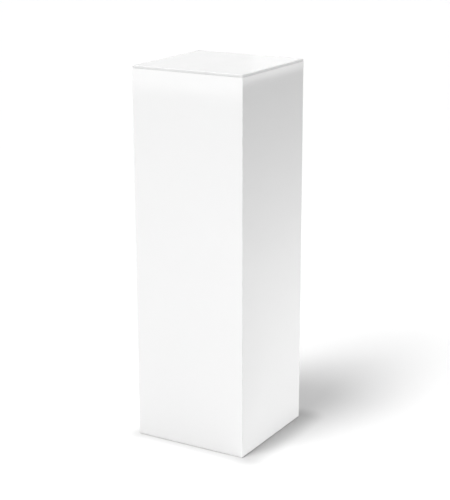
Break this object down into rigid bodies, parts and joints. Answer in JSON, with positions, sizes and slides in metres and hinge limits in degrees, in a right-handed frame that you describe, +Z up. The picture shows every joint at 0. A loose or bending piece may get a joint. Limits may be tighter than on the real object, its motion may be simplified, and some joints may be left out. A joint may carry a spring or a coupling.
{
  "type": "display pedestal",
  "caption": "Free-standing square white laminated display pedestal with a lift-off acrylic top, a hollow ballast space and levelling feet.",
  "frame": {"origin": "centre of the square footprint, on the floor under the feet", "axes": "+Z up the column, -Y out of the front face, +X out of the right-hand face"},
  "size_m": [0.2922, 0.2922, 0.9154],
  "materials": {
    "white_laminate": "white high-pressure laminate, satin gloss",
    "white_acrylic": "opal white cast acrylic, polished face, flame-eased edge",
    "fibreboard": "raw medium-density fibreboard",
    "softwood": "planed softwood",
    "plywood": "sanded birch plywood",
    "zinc_steel": "bright zinc-plated steel",
    "screw_steel": "yellow-passivated zinc-plated steel",
    "black_nylon": "moulded black nylon",
    "foam_tape": "white foam double-sided tape"
  },
  "bodies": {
    "case": {"front_core": "fibreboard", "front_laminate": "white_laminate", "top_cleat_front": "softwood", "base_cleat_front": "softwood", "right_core": "fibreboard", "right_laminate": "white_laminate", "top_cleat_right": "softwood", "base_cleat_right": "softwood", "rear_core": "fibreboard", "rear_laminate": "white_laminate", "top_cleat_rear": "softwood", "base_cleat_rear": "softwood", "left_core": "fibreboard", "left_laminate": "white_laminate", "top_cleat_left": "softwood", "base_cleat_left": "softwood", "corner_batten_front_left": "softwood", "corner_batten_front_right": "softwood", "corner_batten_rear_right": "softwood", "corner_batten_rear_left": "softwood", "base_panel": "plywood", "pronged_nuts": "zinc_steel", "top_cleat_screws": "screw_steel", "base_cleat_screws": "screw_steel", "base_panel_screws": "screw_steel"},
    "lid": {"top_sheet": "white_acrylic", "lid_board": "plywood", "lid_tape": "foam_tape"},
    "pad_front_left": {"foot_pad_front_left": "black_nylon"},
    "stem_front_left": {"foot_stem_front_left": "zinc_steel"},
    "pad_front_right": {"foot_pad_front_right": "black_nylon"},
    "stem_front_right": {"foot_stem_front_right": "zinc_steel"},
    "pad_rear_right": {"foot_pad_rear_right": "black_nylon"},
    "stem_rear_right": {"foot_stem_rear_right": "zinc_steel"},
    "pad_rear_left": {"foot_pad_rear_left": "black_nylon"},
    "stem_rear_left": {"foot_stem_rear_left": "zinc_steel"}
  },
  "joints": [
    {"name": "lid_lift", "type": "slide", "parent": "case", "child": "lid", "axis": [0, 0, 1], "range_m": [0, 0.15]},
    {"name": "foot_front_left_travel", "type": "slide", "parent": "case", "child": "pad_front_left", "axis": [0, 0, -1], "range_m": [0, 0.015]},
    {"name": "foot_front_left_turn", "type": "hinge", "parent": "pad_front_left", "child": "stem_front_left", "pos_m": [-0.09435, -0.09435, 0], "axis": [0, 0, -1], "range_deg": [0, 4320]},
    {"name": "foot_front_right_travel", "type": "slide", "parent": "case", "child": "pad_front_right", "axis": [0, 0, -1], "range_m": [0, 0.015]},
    {"name": "foot_front_right_turn", "type": "hinge", "parent": "pad_front_right", "child": "stem_front_right", "pos_m": [0.09435, -0.09435, 0], "axis": [0, 0, -1], "range_deg": [0, 4320]},
    {"name": "foot_rear_right_travel", "type": "slide", "parent": "case", "child": "pad_rear_right", "axis": [0, 0, -1], "range_m": [0, 0.015]},
    {"name": "foot_rear_right_turn", "type": "hinge", "parent": "pad_rear_right", "child": "stem_rear_right", "pos_m": [0.09435, 0.09435, 0], "axis": [0, 0, -1], "range_deg": [0, 4320]},
    {"name": "foot_rear_left_travel", "type": "slide", "parent": "case", "child": "pad_rear_left", "axis": [0, 0, -1], "range_m": [0, 0.015]},
    {"name": "foot_rear_left_turn", "type": "hinge", "parent": "pad_rear_left", "child": "stem_rear_left", "pos_m": [-0.09435, 0.09435, 0], "axis": [0, 0, -1], "range_deg": [0, 4320]}
  ],
  "couplings": [
    {"joint": "foot_front_left_turn", "follows": "foot_front_left_travel", "rad_per_m": 5026.5},
    {"joint": "foot_front_right_turn", "follows": "foot_front_right_travel", "rad_per_m": 5026.5},
    {"joint": "foot_rear_right_turn", "follows": "foot_rear_right_travel", "rad_per_m": 5026.5},
    {"joint": "foot_rear_left_turn", "follows": "foot_rear_left_travel", "rad_per_m": 5026.5}
  ]
}
